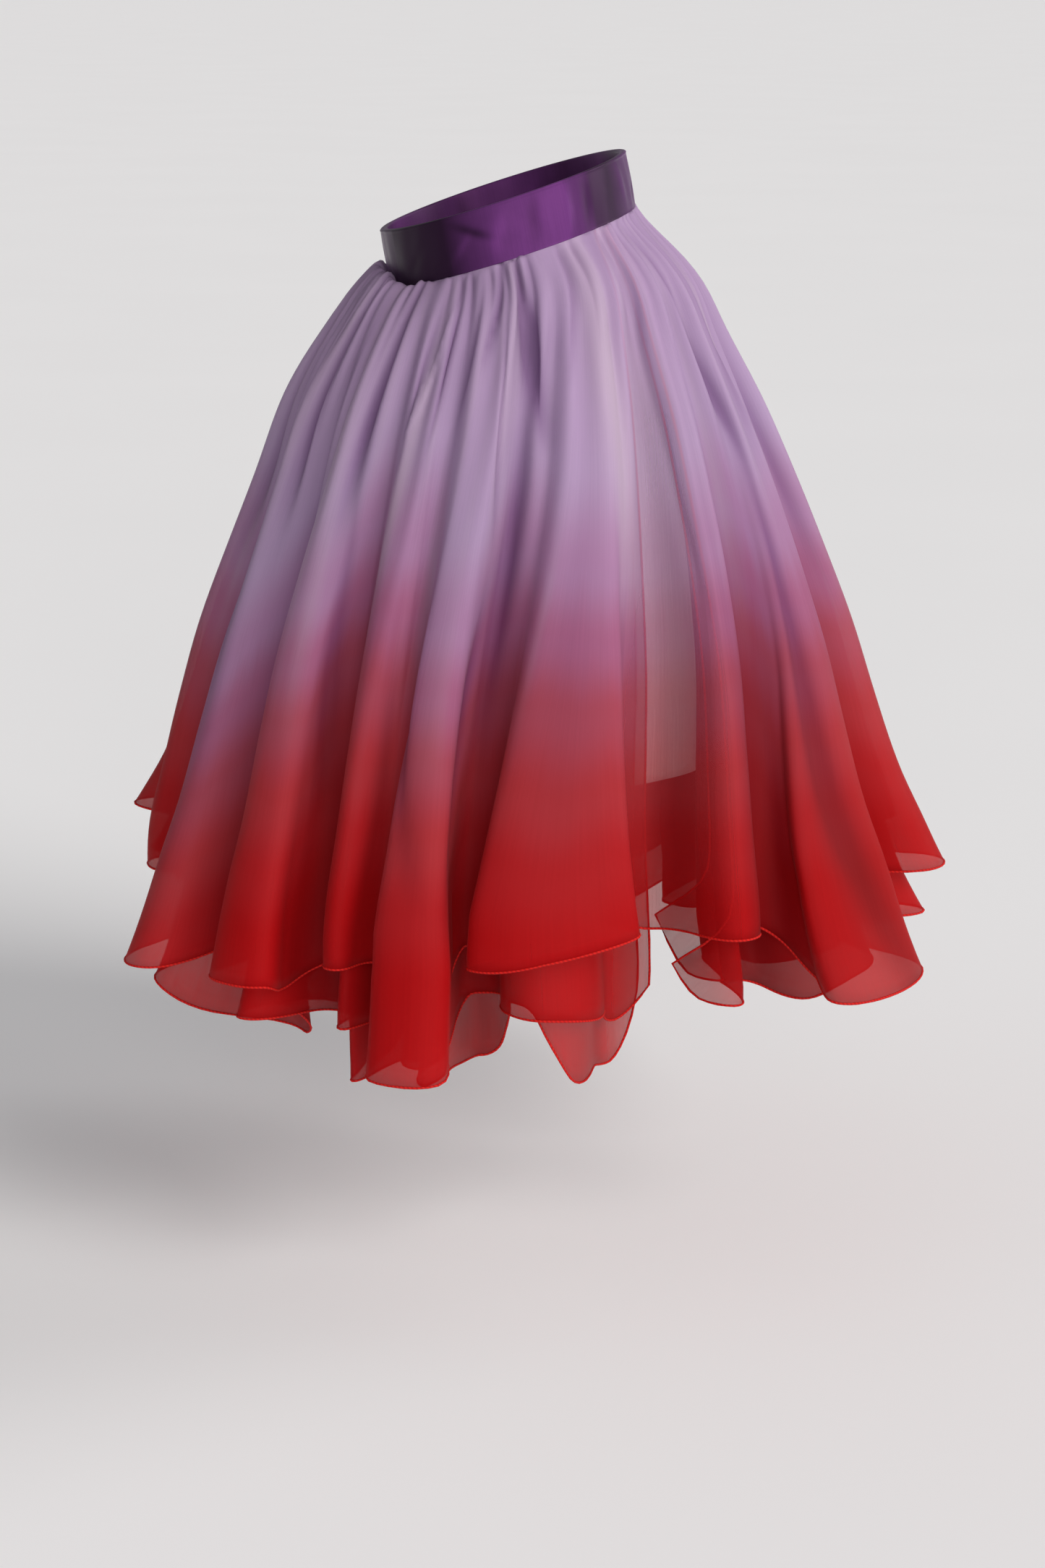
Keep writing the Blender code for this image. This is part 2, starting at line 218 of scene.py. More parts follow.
def fill(node, *inputs, **settings):
    """Feeds a node's inputs, in turn or by name, and gives it its own settings. An underscore is a space."""
    for socket, value in zip(node.inputs, inputs):
        feed(socket, value)
    for name, value in settings.items():
        title = name.replace("_", " ")
        if title in node.inputs:
            feed(node.inputs[title], value)
        else:
            setattr(node, name, value)
    return node


def wire(tree, kind, *inputs, **settings):
    """A new node of this kind with what it is given, to the right of the nodes that feed it."""
    node = fill(tree.nodes.new(kind if kind.startswith("Node") else "ShaderNode" + kind), *inputs, **settings)
    left = max((link.from_node.location.x for link in tree.links if link.to_node == node), default=-1600)
    node.location = left + 200, -200 * sum(other.location.x == left + 200 for other in tree.nodes)
    return node


def calc(tree, operation, *inputs, clamp=False):
    """A node that works out one value from others."""
    return wire(tree, "Math", *inputs, operation=operation, use_clamp=clamp)


def blend(tree, factor, first, second, mode="MIX"):
    """Two colours mixed by a factor."""
    node = wire(tree, "Mix", factor, data_type="RGBA", blend_type=mode)
    feed(node.inputs[6], first)
    feed(node.inputs[7], second)
    return node.outputs[2]


def ramp(tree, value, *stops):
    """Colours over a value, each stop a place and a colour."""
    node = wire(tree, "ValToRGB", value)
    elements = node.color_ramp.elements
    for place, _ in stops[1:-1]:
        elements.new(place)
    for element, (place, colour) in zip(elements, stops):
        element.position, element.color = place, (*colour, 1)
    return node


def new_group(name, inputs, outputs):
    """A node group and its input node. Each socket has a name, a kind and perhaps a value."""
    group = bpy.data.node_groups.new(name, "ShaderNodeTree")
    for side, sockets in (("INPUT", inputs), ("OUTPUT", outputs)):
        for title, kind, *value in sockets:
            socket = group.interface.new_socket(title, in_out=side, socket_type="NodeSocket" + kind)
            if value:
                socket.default_value = value[0]
    return group, wire(group, "NodeGroupInput")


def new_material(name, **looks):
    """A material, its node tree and its shader with these values."""
    material = bpy.data.materials.new(name)
    material.use_nodes = True
    tree = material.node_tree
    return material, tree, fill(tree.nodes["Principled BSDF"], **looks)


def threads_group():
    """The threads of a plain weave: two crossed sine ridges at the given pitches, with uneven slubs along them."""
    group, given = new_group(
        "woven threads",
        (("Place", "Vector"), ("Warp Pitch", "Float", 0.0005), ("Weft Pitch", "Float", 0.0005),
         ("Slub Length", "Float", 0.03)),
        (("Height", "Float"), ("Slubs", "Float")))
    along = wire(group, "SeparateXYZ", given.outputs["Place"])
    warp, weft, slub = (calc(group, "DIVIDE", along.outputs[axis], given.outputs[size])
                        for axis, size in (("X", "Warp Pitch"), ("Y", "Weft Pitch"), ("Y", "Slub Length")))
    ridges = [calc(group, "SINE", calc(group, "MULTIPLY", share, 2 * pi)) for share in (warp, weft)]
    height = wire(group, "MapRange", calc(group, "MAXIMUM", *ridges), -1, 1)
    slubs = wire(group, "TexNoise", wire(group, "CombineXYZ", warp, slub), Scale=0.35, Detail=2.0, Roughness=0.6)
    wire(group, "NodeGroupOutput", height, slubs)
    return group


THREADS = threads_group()


def weave(tree, warp, weft, slub, strength, distance):
    """A cloth's threads by their pitches and the length of their slubs: the slubs, and a bump of the ridges."""
    threads = wire(tree, "Group", node_tree=THREADS, Place=wire(tree, "TexCoord").outputs["UV"],
                   Warp_Pitch=warp, Weft_Pitch=weft, Slub_Length=slub)
    bump = wire(tree, "Bump", Height=threads.outputs["Height"], Strength=strength, Distance=distance)
    return threads.outputs["Slubs"], bump


def satin_finish():
    """Purple satin: fine lengthwise ribs, a painted sheen that lightens and darkens its colour round the band,
    clouded, and a tinted highlight along the strip.
    """
    material, tree, shader = new_material(
        "purple satin", Roughness=0.40, Specular_IOR_Level=0.13, Specular_Tint=(1.0, 0.36, 1.0, 1),
        Anisotropic=0.80, Anisotropic_Rotation=0.25)
    slubs, bump = weave(tree, 0.00035, 0.00060, 0.020, 0.20, 0.00008)
    clouds = wire(tree, "TexNoise", wire(tree, "TexCoord").outputs["Object"], Scale=38.0, Detail=3.0, Roughness=0.55)
    uneven = wire(tree, "MapRange", clouds, 0, 1, 0.72, 1.28)
    # Painted sheen: the band's trait, clouded, lightens the colour where the highlight falls and darkens it in shade
    # and in the creases.
    painted_sheen = wire(tree, "Attribute", attribute_name="tone")
    painted_sheen_level = calc(tree, "MULTIPLY", painted_sheen.outputs["Fac"], uneven, clamp=True)
    tone = ramp(tree, painted_sheen_level, (0, (0.010, 0.005, 0.011)), (1, (0.135, 0.036, 0.170)))
    fill(shader, Base_Color=blend(tree, 0.25, tone, slubs, "MULTIPLY"), Normal=bump)
    return material


band = waistband()
band.data.materials.append(satin_finish())
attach(band, "root")
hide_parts("waistband")

# ------------------------------------------------------------
# Lining. A short opaque slip of smooth pale lilac cloth in a flared cut, sewn into the band under the organza.
# Its hem is turned up once and stitched, and shows through the single layers as a pale edge.
# ------------------------------------------------------------
SEAM_GAP = 0.0003
SKIRT_FORWARD = 0.0124
LINING_HEM = -0.375
LINING_COLUMNS = 300
LINING_WALL = 0.0005
HEM_TURN_UP = 0.012
TURN_UP_STEP = 0.0004
LINING_WAVE = 0.0060
GATHER_ROOM = 0.0034
GATHER_ROOM_FALL = 0.020
LINING_RADIUS = 0.16
LINING_FORWARD_FALL = 0.05

Slip = namedtuple("Slip", "fall half_depth half_side")
LINING = (
    Slip(0.000, 0.0820, 0.1128),
    Slip(0.014, 0.0800, 0.1125),
    Slip(0.034, 0.0825, 0.1160),
    Slip(0.090, 0.1020, 0.1330),
    Slip(0.170, 0.1210, 0.1500),
    Slip(0.260, 0.1360, 0.1620),
    Slip(0.370, 0.1500, 0.1700),
)


def eased(knots, values, at):
    """A smooth line through the values at rising knots: cubic between them, flat in slope where they turn."""
    knots = np.asarray(knots, float)
    values = np.asarray(values, float)
    steps = np.diff(values) / np.diff(knots)
    inner = np.where(steps[1:] * steps[:-1] > 0, (steps[1:] + steps[:-1]) / 2, 0.0)
    slopes = np.concatenate([steps[:1], inner, steps[-1:]])
    at = np.clip(at, knots[0], knots[-1])
    index = np.clip(np.searchsorted(knots, at, side="right") - 1, 0, len(knots) - 2)
    width = knots[index + 1] - knots[index]
    part = (at - knots[index]) / width
    return (
        values[index] * (1 + 2 * part) * (1 - part) ** 2
        + slopes[index] * width * part * (1 - part) ** 2
        + values[index + 1] * part**2 * (3 - 2 * part)
        - slopes[index + 1] * width * part**2 * (1 - part)
    )


def lining_surface():
    """The slip's outer face: an ellipse at each fall below the seam, with soft waves that grow to the hem.

    The waves only lie inwards, and the turned-up hem stands out by its own thickness over the last part. Just
    below the band the slip keeps clear of the gathers.
    """
    turn = np.arange(LINING_COLUMNS) * 2 * pi / LINING_COLUMNS
    part = np.concatenate([np.linspace(0, 0.15, 10)[:-1], np.linspace(0.15, 1, 40)])[:, None]
    seam_forward = BAND_HEIGHT / 2 * tan(BAND_LEAN)
    falls = [row.fall for row in LINING]
    top = ellipse(turn, LINING[0].half_side, LINING[0].half_depth)
    seam = band_height(-top * np.sin(turn), -BAND_HEIGHT / 2 - SEAM_GAP)
    fall = part * (seam - LINING_HEM)
    depth = eased(falls, [row.half_depth for row in LINING], fall)
    side = eased(falls, [row.half_side for row in LINING], fall)
    radius = ellipse(turn, side, depth)
    waves = 0.5 + 0.25 * np.sin(7 * turn + 0.8) + 0.25 * np.sin(11 * turn + 2.3 * np.sin(turn))
    radius = radius - LINING_WAVE * (fall / falls[-1]) ** 1.5 * waves
    radius = radius - GATHER_ROOM * (fall / GATHER_ROOM_FALL) ** 2 * np.exp(2 - 2 * fall / GATHER_ROOM_FALL)
    to_hem = (seam - LINING_HEM) * (1 - part)
    radius = radius + TURN_UP_STEP * np.clip((HEM_TURN_UP - to_hem) / 0.001, 0, 1)
    forward = seam_forward + (SKIRT_FORWARD - seam_forward) * (1 - np.exp(-fall / LINING_FORWARD_FALL))
    points = np.stack([-radius * np.cos(turn), -forward - radius * np.sin(turn), seam - fall], axis=-1)
    across = np.linspace(0, 2 * pi * LINING_RADIUS, LINING_COLUMNS + 1)[None, :]
    return points, across, np.append(fall, fall[:, :1], axis=1)


def lining_finish():
    """Pale lilac lining: a dense smooth weave with a soft sheen and faint vertical streaks of tone along its slubs.
    """
    material, tree, shader = new_material("lining cloth", Roughness=0.5, Sheen_Weight=0.25, Sheen_Roughness=0.4)
    slubs, bump = weave(tree, 0.00040, 0.00045, 0.050, 0.25, 0.0001)
    tone = ramp(tree, slubs, (0.25, (0.88, 0.76, 0.80)), (0.75, (0.94, 0.83, 0.86)))
    fill(shader, Base_Color=tone, Normal=bump)
    return material


def give_wall(obj, thickness):
    """Gives an open surface its wall on the inner side."""
    wall = obj.modifiers.new("wall", "SOLIDIFY")
    wall.thickness = thickness
    wall.offset = -1
    wall.use_even_offset = False
    wall.use_rim = True


slip = ring_piece("lining_slip", *lining_surface())
give_wall(slip, LINING_WALL)
slip.data.materials.append(lining_finish())
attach(slip, "root")
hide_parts("lining")

# ------------------------------------------------------------
# Outer organza. The top layer, sheer crisp cloth cut as rings and gathered into the band, dyed from lilac at the
# waist to red at the hem. It hangs in eighteen flutes, into which the gathers at the waist run together.
# ------------------------------------------------------------
WALL = 0.0010
SHEER_WALL = 0.0004
GATHER_DEPTH = 0.0085
GATHER_START = 0.06
GATHER_END = 0.30
SMALL_DEPTH = 0.0034
SMALL_DEPTH_SPREAD = 0.0014
SMALL_LENGTH = 0.090
SMALL_LENGTH_SPREAD = 0.050
FLUTTER = 0.0007
FLUTTER_HEIGHT = 0.05
FULL_FALL = 0.45
TURNED_FALL = 0.42
WAIST_CURL = 0.25
LAYER_GAP = 0.0050
FLANK_SHARE = 0.06
SHOULDER_FALL = 0.017
PUFF_FALL = 0.015
BACK_TURN = -90.0
BACK_BULGE = 0.005
BULGE_FALL = 0.070
FIRST_VALLEY = -113.0
SPILL = 0.0042
SPILL_FALL = 0.0050
UNDER_HEM = 0.04
CREASE_SHADE = 0.0042
FLAT_PLACE = 0.17
FLAT_HALF_WIDTH = 0.28
FLAT_LIFT = 1.4
ROLL = 0.0016
ROLL_SIDES = 8
STITCH_TWIST = 0.10
STITCH_PITCH = 0.0045
TUCK = 0.003
TUCK_SHARE = 0.985
THREAD_SHARE = 0.50
GLOW = 0.22
SHADOW_SHARE = 0.15

# The crest of the folds at each height, as half the skirt's width seen from the side and from the front.
Profile = namedtuple("Profile", "height half_depth half_side")
PROFILE = (
    Profile(0.012, 0.0790, 0.1130),
    Profile(0.000, 0.0920, 0.1220),
    Profile(-0.014, 0.1030, 0.1310),
    Profile(-0.045, 0.1260, 0.1490),
    Profile(-0.076, 0.1420, 0.1640),
    Profile(-0.127, 0.1690, 0.1890),
    Profile(-0.179, 0.1926, 0.2100),
    Profile(-0.231, 0.2143, 0.2290),
    Profile(-0.284, 0.2347, 0.2470),
    Profile(-0.337, 0.2507, 0.2610),
    Profile(-0.391, 0.2662, 0.2740),
    Profile(-0.430, 0.2790, 0.2850),
    Profile(-0.470, 0.2880, 0.2930),
    Profile(-0.520, 0.2970, 0.3010),
    Profile(-0.570, 0.3040, 0.3070),
)

# The flutes, each from one valley to the next: the turns of its crest and of the valley after it at the hem, how
# far the crest kicks out, how deep the valley is, how far the sides curl under, how much more the outer layer's
# face laps over the valleys, the gathers that run into it, and how far above the hem the lilac has turned half
# way to red at the crest and at the valley.
Flute = namedtuple("Flute", "crest_turn valley_turn reach valley curl lip gathers dye dye_valley")
FLUTES = (
    Flute(-104, -94, 0.020, 0.070, 0.9, 0.0, 2, 0.120, 0.125),
    Flute(-84, -73, -0.010, 0.080, 0.9, 0.0, 3, 0.150, 0.140),
    Flute(-62, -52, 0.020, 0.074, 1.0, 0.0, 3, 0.115, 0.140),
    Flute(-43.5, -33, 0.004, 0.060, 0.9, 0.9, 3, 0.165, 0.195),
    Flute(-27.5, -23, -0.012, 0.048, 0.8, 0.0, 2, 0.180, 0.185),
    Flute(-15, -8.5, 0.014, 0.074, 1.7, 1.4, 2, 0.198, 0.175),
    Flute(4, 21.5, 0.000, 0.078, 1.5, 1.5, 4, 0.160, 0.150),
    Flute(32, 41, -0.006, 0.046, 0.6, 0.0, 2, 0.160, 0.195),
    Flute(56.5, 73, 0.024, 0.084, 1.1, 1.2, 4, 0.215, 0.190),
    Flute(86, 96, 0.020, 0.076, 1.0, 0.0, 3, 0.160, 0.150),
    Flute(106, 116, 0.006, 0.080, 0.9, 0.0, 2, 0.165, 0.160),
    Flute(126, 137, 0.016, 0.084, 1.0, 0.0, 3, 0.185, 0.165),
    Flute(147, 156, 0.000, 0.072, 0.8, 0.0, 2, 0.150, 0.170),
    Flute(165, 175, 0.010, 0.082, 1.1, 0.0, 3, 0.190, 0.170),
    Flute(184, 194, -0.006, 0.064, 0.9, 0.0, 2, 0.155, 0.165),
    Flute(205, 215, 0.012, 0.082, 1.0, 0.0, 3, 0.180, 0.160),
    Flute(222, 232, 0.000, 0.066, 0.8, 0.0, 2, 0.150, 0.165),
    Flute(240, 247, 0.006, 0.054, 0.6, 0.0, 2, 0.160, 0.140),
)

# The height of each layer's hem at the flute's crest and at the valley after it, a row for each flute above.
Hem = namedtuple("Hem", "outer outer_valley middle middle_valley inner inner_valley")
HEMS = (
    Hem(-0.440, -0.458, -0.475, -0.474, -0.486, -0.480),
    Hem(-0.462, -0.470, -0.472, -0.480, -0.474, -0.478),
    Hem(-0.501, -0.482, -0.513, -0.532, -0.497, -0.502),
    Hem(-0.494, -0.472, -0.523, -0.528, -0.516, -0.531),
    Hem(-0.475, -0.477, -0.520, -0.525, -0.561, -0.556),
    Hem(-0.538, -0.468, -0.534, -0.508, -0.552, -0.548),
    Hem(-0.467, -0.463, -0.502, -0.506, -0.500, -0.500),
    Hem(-0.457, -0.462, -0.506, -0.498, -0.494, -0.490),
    Hem(-0.508, -0.466, -0.514, -0.484, -0.506, -0.490),
    Hem(-0.462, -0.456, -0.499, -0.486, -0.506, -0.500),
    Hem(-0.450, -0.462, -0.490, -0.500, -0.526, -0.530),
    Hem(-0.486, -0.468, -0.520, -0.506, -0.540, -0.534),
    Hem(-0.464, -0.470, -0.502, -0.512, -0.532, -0.544),
    Hem(-0.502, -0.466, -0.530, -0.504, -0.552, -0.536),
    Hem(-0.466, -0.462, -0.508, -0.500, -0.540, -0.528),
    Hem(-0.492, -0.472, -0.520, -0.512, -0.546, -0.536),
    Hem(-0.468, -0.460, -0.506, -0.494, -0.530, -0.520),
    Hem(-0.478, -0.456, -0.502, -0.476, -0.512, -0.488),
)

# Lobes where a layer hangs lower than its own hem, or higher: the layer's order, the lobe's place counted in
# flutes from the first valley, its half width in flutes, its drop, and how squarely it begins and ends.
Lobe = namedtuple("Lobe", "order place half_width drop power")
LOBES = (
    Lobe(0, 3.86, 0.17, 0.015, 4),
    Lobe(0, 6.72, 0.22, -0.020, 4),
    Lobe(1, 2.88, 0.30, 0.029, 4),
    Lobe(1, 6.80, 0.22, 0.008, 4),
    Lobe(1, 6.96, 0.16, 0.019, 4),
    Lobe(1, 8.12, 0.26, 0.008, 4),
    Lobe(1, 8.62, 0.26, -0.018, 4),
    Lobe(2, 5.97, 0.22, 0.010, 4),
    Lobe(2, 6.79, 0.28, 0.058, 6),
    Lobe(2, 6.95, 0.15, 0.008, 4),
    Lobe(2, 8.60, 0.30, -0.020, 4),
)

# Marks in the cloth: the place that each follows, counted in flutes from the first valley, where
# it starts and ends below the seam, how far its place moves from top to bottom, its half width in flutes, and its
# amount. A crease's amount is its depth, below zero for a ridge.
Mark = namedtuple("Mark", "place start end lean width amount")
CREASES = (
    Mark(2.72, -0.02, 0.16, -0.10, 0.09, 0.0040),
    Mark(2.45, 0.05, 0.34, 0.15, 0.08, 0.0026),
    Mark(3.10, 0.00, 0.20, -0.25, 0.07, 0.0028),
    Mark(3.36, 0.04, 0.40, -0.10, 0.09, -0.0024),
    Mark(3.68, -0.02, 0.17, -0.20, 0.07, 0.0038),
    Mark(3.82, 0.13, 0.36, 0.10, 0.07, 0.0034),
    Mark(4.30, 0.01, 0.13, -0.20, 0.07, 0.0032),
    Mark(4.46, 0.01, 0.12, -0.65, 0.06, -0.0030),
    Mark(4.76, -0.01, 0.12, -0.08, 0.07, 0.0038),
    Mark(4.86, 0.05, 0.36, 0.20, 0.06, -0.0022),
    Mark(5.12, 0.00, 0.10, -0.20, 0.06, 0.0022),
    Mark(5.50, -0.02, 0.07, -0.35, 0.06, 0.0032),
    Mark(5.76, 0.01, 0.20, 0.30, 0.035, 0.0026),
    Mark(5.36, 0.19, 0.42, 0.36, 0.04, 0.0030),
    Mark(5.76, 0.18, 0.44, -0.30, 0.06, 0.0040),
    Mark(6.04, -0.01, 0.13, 0.36, 0.08, 0.0062),
    Mark(6.00, 0.08, 0.34, -0.10, 0.06, 0.0042),
    Mark(6.42, 0.00, 0.09, -0.10, 0.05, 0.0022),
    Mark(6.50, 0.14, 0.44, 0.06, 0.08, 0.0016),
    Mark(6.74, 0.00, 0.26, 0.14, 0.06, -0.0022),
    Mark(7.10, 0.00, 0.09, 0.00, 0.06, 0.0032),
    Mark(7.19, -0.03, 0.30, 0.58, 0.05, 0.0044),
    Mark(7.62, 0.03, 0.34, 0.12, 0.09, -0.0022),
    Mark(7.90, 0.06, 0.40, 0.20, 0.07, 0.0026),
    Mark(8.20, -0.01, 0.17, 0.32, 0.05, 0.0044),
    Mark(8.44, 0.08, 0.60, 0.30, 0.05, 0.0052),
    Mark(8.62, 0.00, 0.18, -0.20, 0.07, 0.0030),
    Mark(8.80, 0.10, 0.44, 0.10, 0.08, -0.0022),
    Mark(9.30, 0.02, 0.30, 0.15, 0.08, 0.0032),
    Mark(9.75, 0.06, 0.40, -0.10, 0.09, -0.0024),
    Mark(10.20, 0.00, 0.24, 0.20, 0.08, 0.0034),
    Mark(10.62, 0.05, 0.38, -0.15, 0.07, 0.0026),
    Mark(11.12, 0.00, 0.15, 0.30, 0.07, 0.0040),
    Mark(11.50, 0.06, 0.42, -0.10, 0.09, -0.0022),
    Mark(11.86, 0.02, 0.30, 0.12, 0.07, 0.0030),
    Mark(12.40, 0.04, 0.26, -0.25, 0.08, 0.0034),
    Mark(12.90, 0.00, 0.38, 0.10, 0.07, 0.0026),
    Mark(13.25, 0.02, 0.20, 0.20, 0.07, -0.0024),
    Mark(13.60, 0.08, 0.44, -0.12, 0.08, 0.0030),
    Mark(14.15, 0.00, 0.16, -0.30, 0.08, 0.0042),
    Mark(14.55, 0.05, 0.36, 0.16, 0.08, -0.0022),
    Mark(15.10, 0.02, 0.28, -0.10, 0.07, 0.0034),
    Mark(15.48, 0.08, 0.42, 0.14, 0.09, 0.0024),
    Mark(16.00, 0.00, 0.14, 0.25, 0.07, 0.0038),
    Mark(16.45, 0.04, 0.36, -0.15, 0.08, -0.0026),
    Mark(16.95, 0.02, 0.24, 0.10, 0.07, 0.0032),
    Mark(17.40, 0.05, 0.38, -0.20, 0.08, 0.0026),
    Mark(0.15, 0.00, 0.22, 0.20, 0.08, 0.0034),
    Mark(0.60, 0.06, 0.36, -0.10, 0.09, -0.0022),
    Mark(1.20, 0.02, 0.30, 0.15, 0.08, 0.0036),
    Mark(1.72, 0.00, 0.20, -0.20, 0.08, 0.0030),
    Mark(2.10, 0.08, 0.40, 0.10, 0.08, -0.0024),
)

# Flutes that hang straighter than the rest: how far their folds are turned aside, in radians.
DRIFTS = (
    Mark(5.40, 0.10, 0.44, 0.00, 0.40, -0.032),
    Mark(5.20, 0.40, 0.66, 0.00, 0.30, 0.022),
    Mark(6.25, 0.14, 0.62, 0.00, 0.34, -0.058),
    Mark(8.22, 0.22, 0.66, 0.00, 0.36, -0.080),
)

# Streaks that took less dye. Their amount is the share of dye that is missing.
PALE_STREAKS = (
    Mark(6.72, -0.05, 0.27, 0.45, 0.130, 0.62),
    Mark(4.36, -0.02, 0.30, -0.50, 0.110, 0.45),
    Mark(3.30, 0.00, 0.40, -0.50, 0.120, 0.42),
    Mark(5.10, 0.10, 0.40, 0.15, 0.090, 0.30),
    Mark(8.90, 0.00, 0.30, 0.10, 0.120, 0.45),
    Mark(10.40, 0.02, 0.34, 0.20, 0.100, 0.50),
    Mark(12.10, 0.00, 0.38, -0.15, 0.110, 0.45),
    Mark(14.30, 0.04, 0.40, 0.10, 0.130, 0.50),
    Mark(16.20, 0.02, 0.32, 0.15, 0.110, 0.45),
    Mark(0.90, 0.00, 0.36, -0.10, 0.120, 0.40),
)

# Patches of painted shade, where the cloth's colour is darkened and the cloth is made a little denser.
PAINTED_SHADE_PATCHES = (
    Mark(8.16, 0.06, 0.80, 0.10, 0.20, 0.70),
    Mark(7.66, 0.03, 0.80, -0.05, 0.18, 1.00),
    Mark(6.00, 0.16, 0.80, -0.05, 0.07, 0.25),
    Mark(4.62, 0.12, 0.80, 0.10, 0.14, 0.30),
    Mark(3.95, 0.10, 0.80, -0.10, 0.18, 0.40),
    Mark(3.05, 0.08, 0.66, 0.10, 0.18, 0.35),
    Mark(11.95, 0.08, 0.66, 0.15, 0.20, 0.40),
    Mark(14.05, 0.06, 0.66, -0.15, 0.20, 0.40),
    Mark(16.90, 0.10, 0.66, 0.10, 0.18, 0.35),
)

# The two inner layers are open at one side from the band to the hem: between the valley after this flute, the
# first being flute 0, and a place in the flute that follows, at each part of the way down. The edge at the valley
# swings forward near the hem, and the corners of the hems are rounded off.
Opening = namedtuple("Opening", "part place")
OPENING = (Opening(0.00, 0.48), Opening(0.35, 0.54), Opening(0.72, 0.62), Opening(0.90, 0.52), Opening(1.00, 0.24))
OPEN_FLUTE = 6
EDGE_SWING = radians(5.5)
SWING_WIDTH = 0.4
SWING_START = 0.12
SWING_FALL = 0.35
CORNER_RISE = 0.018
CORNER_WIDTH = 0.12

# The layers of organza, from the outside in: how far each lies inside the first at a crest and at a valley
# by its hem, how far it puffs up behind the band, and how many points a gather has.
Layer = namedtuple("Layer", "name hem order crest_inset valley_inset puff points")
OUTER = Layer("outer_organza", "outer", 0, 0.000, 0.000, 0.026, 16)


def fold_columns(points):
    """The columns of a gathered cloth: each one's flute, its place in the flute from 0 to 1, its gathers."""
    flute = np.repeat(np.arange(len(FLUTES)), [row.gathers * points for row in FLUTES])
    place = np.concatenate([np.arange(row.gathers * points) / (row.gathers * points) for row in FLUTES])
    gathers = np.array([row.gathers for row in FLUTES])[flute]
    return flute, place, gathers


def waist_turn(flute, place):
    """The turn of each column at the seam, where the gathers are even."""
    counts = np.array([row.gathers for row in FLUTES])
    ends = np.cumsum(counts)
    return radians(FIRST_VALLEY) + 2 * pi * (ends[flute] - counts[flute] * (1 - place)) / ends[-1]


def fold_turn(flute, place, fall, order):
    """The turn of each column: evenly gathered at the waist, then running to the flute's own turns.

    A flute is broad at its crest and its valley, and steep or curled under between them. A layer that lies
    further in has narrower flutes, so that it hangs clear inside the one over it.
    """
    waist = waist_turn(flute, place)
    after = np.radians([row.valley_turn for row in FLUTES])
    before = np.roll(after, 1)
    before[0] = radians(FIRST_VALLEY)
    crest = np.radians([row.crest_turn for row in FLUTES])
    half = np.where(place < 0.5, 2 * place, 2 * place - 1)
    broad = np.clip(fall / FULL_FALL, 0, 1)
    curl = np.array([row.curl for row in FLUTES])[flute] * (1 - 0.3 * order)
    if order == 0:
        curl = curl + np.array([row.lip for row in FLUTES])[flute] * (abs(place - 0.5) < 0.25)
    share = half + (WAIST_CURL + (curl - WAIST_CURL) * broad**1.5) * np.sin(2 * pi * half) / (2 * pi)
    start = np.where(place < 0.5, before[flute], crest[flute])
    end = np.where(place < 0.5, crest[flute], after[flute])
    hem = start + (end - start) * share
    turn = waist + (hem - waist) * np.clip(fall / TURNED_FALL, 0, 1) ** 0.8
    inward = np.where(place < 0.5, 1, -1)
    return turn + order * FLANK_SHARE * (end - start) * broad * np.sin(pi * half) * inward


def both_sides(rows, crest_name, valley_name, flute, place):
    """For each column, its flute's value at the crest, and the value at the valley on its own side."""
    valleys = np.array([getattr(row, valley_name) for row in rows])
    crests = np.array([getattr(row, crest_name) for row in rows])
    return crests[flute], np.where(place < 0.5, np.roll(valleys, 1)[flute], valleys[flute])


def shared(rows, crest_name, valley_name, flute, place, share):
    """For each column, its valley's value plus this share of the way to its crest's."""
    crest, valley = both_sides(rows, crest_name, valley_name, flute, place)
    return valley + (crest - valley) * share


def facing_out(points):
    """The unit normals of a ring grid, from the differences of its neighbours round it and down it."""
    round_way = np.roll(points, -1, axis=1) - np.roll(points, 1, axis=1)
    down = np.gradient(points, axis=0)
    normal = np.cross(down, round_way)
    return normal / np.linalg.norm(normal, axis=-1, keepdims=True)


def marked(rows, place, fall):
    """The sum of the marks: each its amount times a bell across its line and a rounded hump along it."""
    total = 0
    for row in rows:
        along = np.clip((fall - row.start) / (row.end - row.start), 0, 1)
        off = (place - row.place - row.lean * (along - 0.5) + len(FLUTES) / 2) % len(FLUTES) - len(FLUTES) / 2
        total = total + row.amount * np.exp(-((off / row.width) ** 2)) * np.sin(pi * along) ** 1.2
    return total


